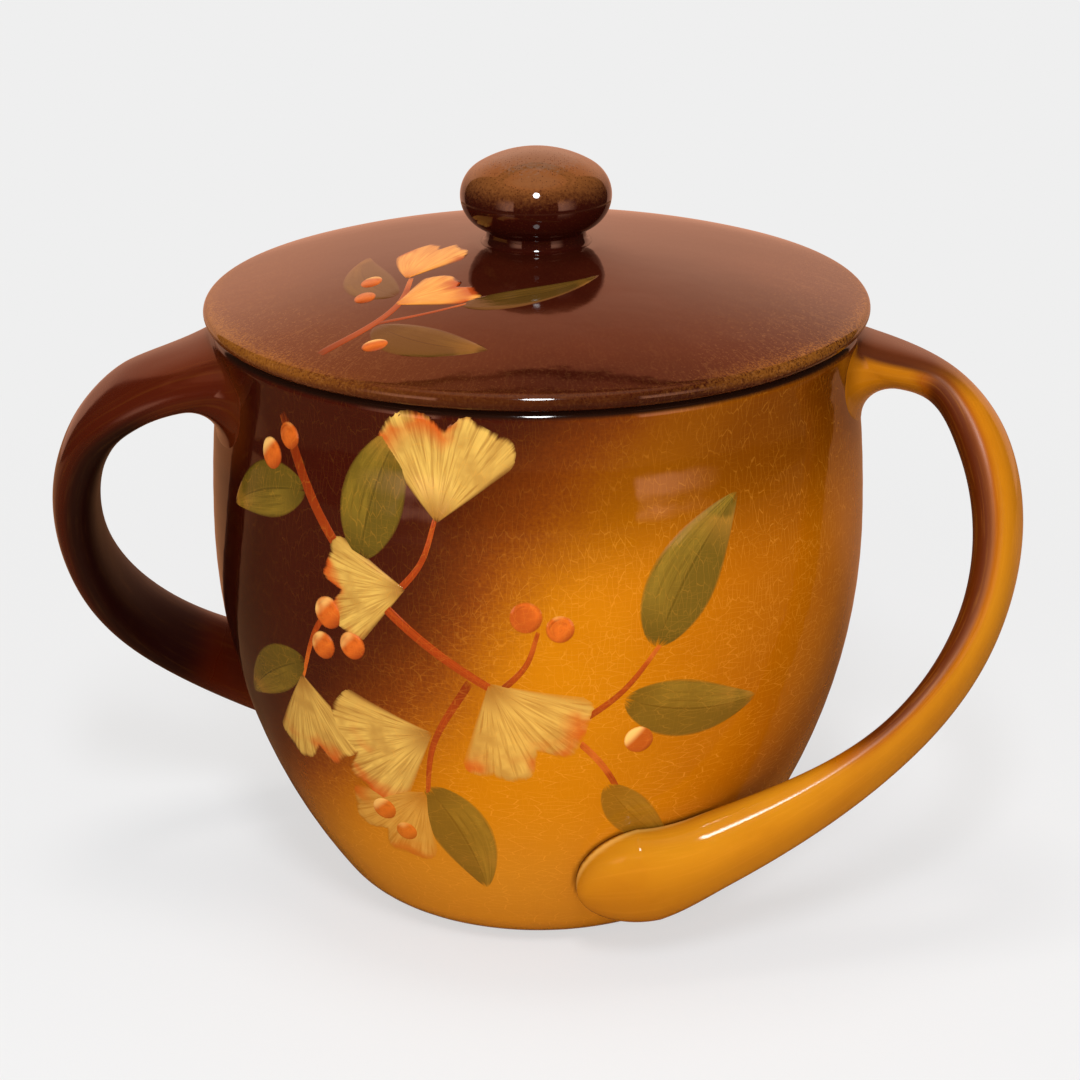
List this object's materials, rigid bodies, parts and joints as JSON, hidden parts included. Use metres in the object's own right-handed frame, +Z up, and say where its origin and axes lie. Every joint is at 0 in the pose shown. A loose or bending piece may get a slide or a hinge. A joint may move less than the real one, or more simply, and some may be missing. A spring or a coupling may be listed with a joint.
{
  "type": "covered ceramic jar",
  "caption": "Round-bellied glazed ceramic jar with a loose knobbed lid and a strap handle sweeping down each side; holds biscuits or other dry food.",
  "frame": {"origin": "centre of the foot ring, on the surface the jar stands on", "axes": "+Z up along the axis of the pot and lid; +X out through the middle of the right handle's side, so that the handles lie to +X and -X; -Y is the front, towards the viewer"},
  "size_m": [0.2434, 0.166, 0.1935],
  "materials": {
    "body_glaze": "glossy crazed glaze over brown and golden slips",
    "right_handle_glaze": "glossy crazed glaze, golden ochre",
    "left_handle_glaze": "glossy crazed glaze, dark brown",
    "lid_glaze": "glossy crazed glaze, dark red-brown with a worn ochre edge",
    "knob_glaze": "glossy glaze, speckled brown"
  },
  "bodies": {
    "jar": {"jar_body": "body_glaze", "handle_right": "right_handle_glaze", "handle_left": "left_handle_glaze"},
    "lid": {"lid": "lid_glaze", "lid_knob": "knob_glaze"}
  },
  "joints": [
    {"name": "lid_lift", "type": "slide", "parent": "jar", "child": "lid", "axis": [0, 0, 1], "range_m": [0, 0.06]}
  ]
}
